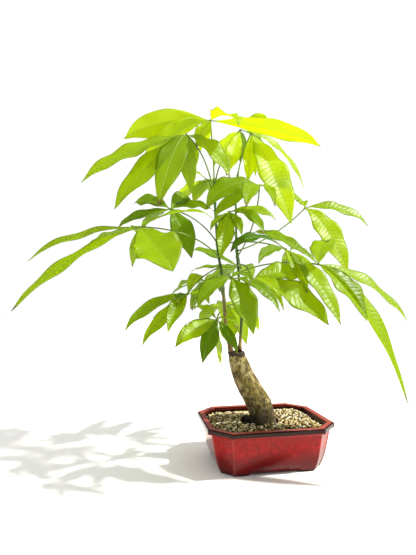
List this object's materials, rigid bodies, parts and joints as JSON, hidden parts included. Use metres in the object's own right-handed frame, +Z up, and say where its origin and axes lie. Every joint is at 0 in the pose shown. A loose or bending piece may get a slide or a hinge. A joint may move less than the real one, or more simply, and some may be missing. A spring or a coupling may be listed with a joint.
{
  "type": "potted money tree",
  "caption": "Young money tree: a leaning sawn trunk, two stems and hand-shaped compound leaves, in a red glazed pot with cut corners, topped with gravel.",
  "frame": {"origin": "centre of the pot's footprint, on the surface that its feet stand on", "axes": "+X along the pot's long side, to the right as seen from its front; -Y is the front; +Z up"},
  "size_m": [0.5754, 0.3702, 0.5986],
  "materials": {
    "red_glaze": "deep red crazed gloss glaze, browner where it breaks over the lip",
    "black_plastic": "matt mesh",
    "soil": "damp dark crumbs",
    "gravel": "dry cream and tan grains",
    "bark": "smooth olive bark with dark flecks and pale streaks",
    "green_stem": "young green bark, brown at its foot",
    "leaf": "soft gloss, light shines through"
  },
  "bodies": {
    "root": {"pot": "red_glaze", "drain_screen_left": "black_plastic", "drain_screen_right": "black_plastic", "potting_soil": "soil", "gravel": "gravel", "trunk": "bark", "stem_left": "green_stem", "stem_right": "green_stem", "leaf_crown": "leaf", "leaf_crown_right": "leaf", "leaf_right_top": "leaf", "leaf_upper_left": "leaf", "leaf_inner_left": "leaf", "leaf_long_left": "leaf", "leaf_back_middle": "leaf", "leaf_upper_front": "leaf", "leaf_upper_right": "leaf", "leaf_long_right": "leaf", "leaf_middle_front": "leaf", "leaf_right_front": "leaf", "leaf_low_front": "leaf", "leaf_low_left": "leaf", "leaf_trunk_top": "leaf", "leaf_back_low": "leaf", "leaf_back_left": "leaf", "leaf_centre": "leaf", "leaf_back_top": "leaf"}
  },
  "joints": []
}
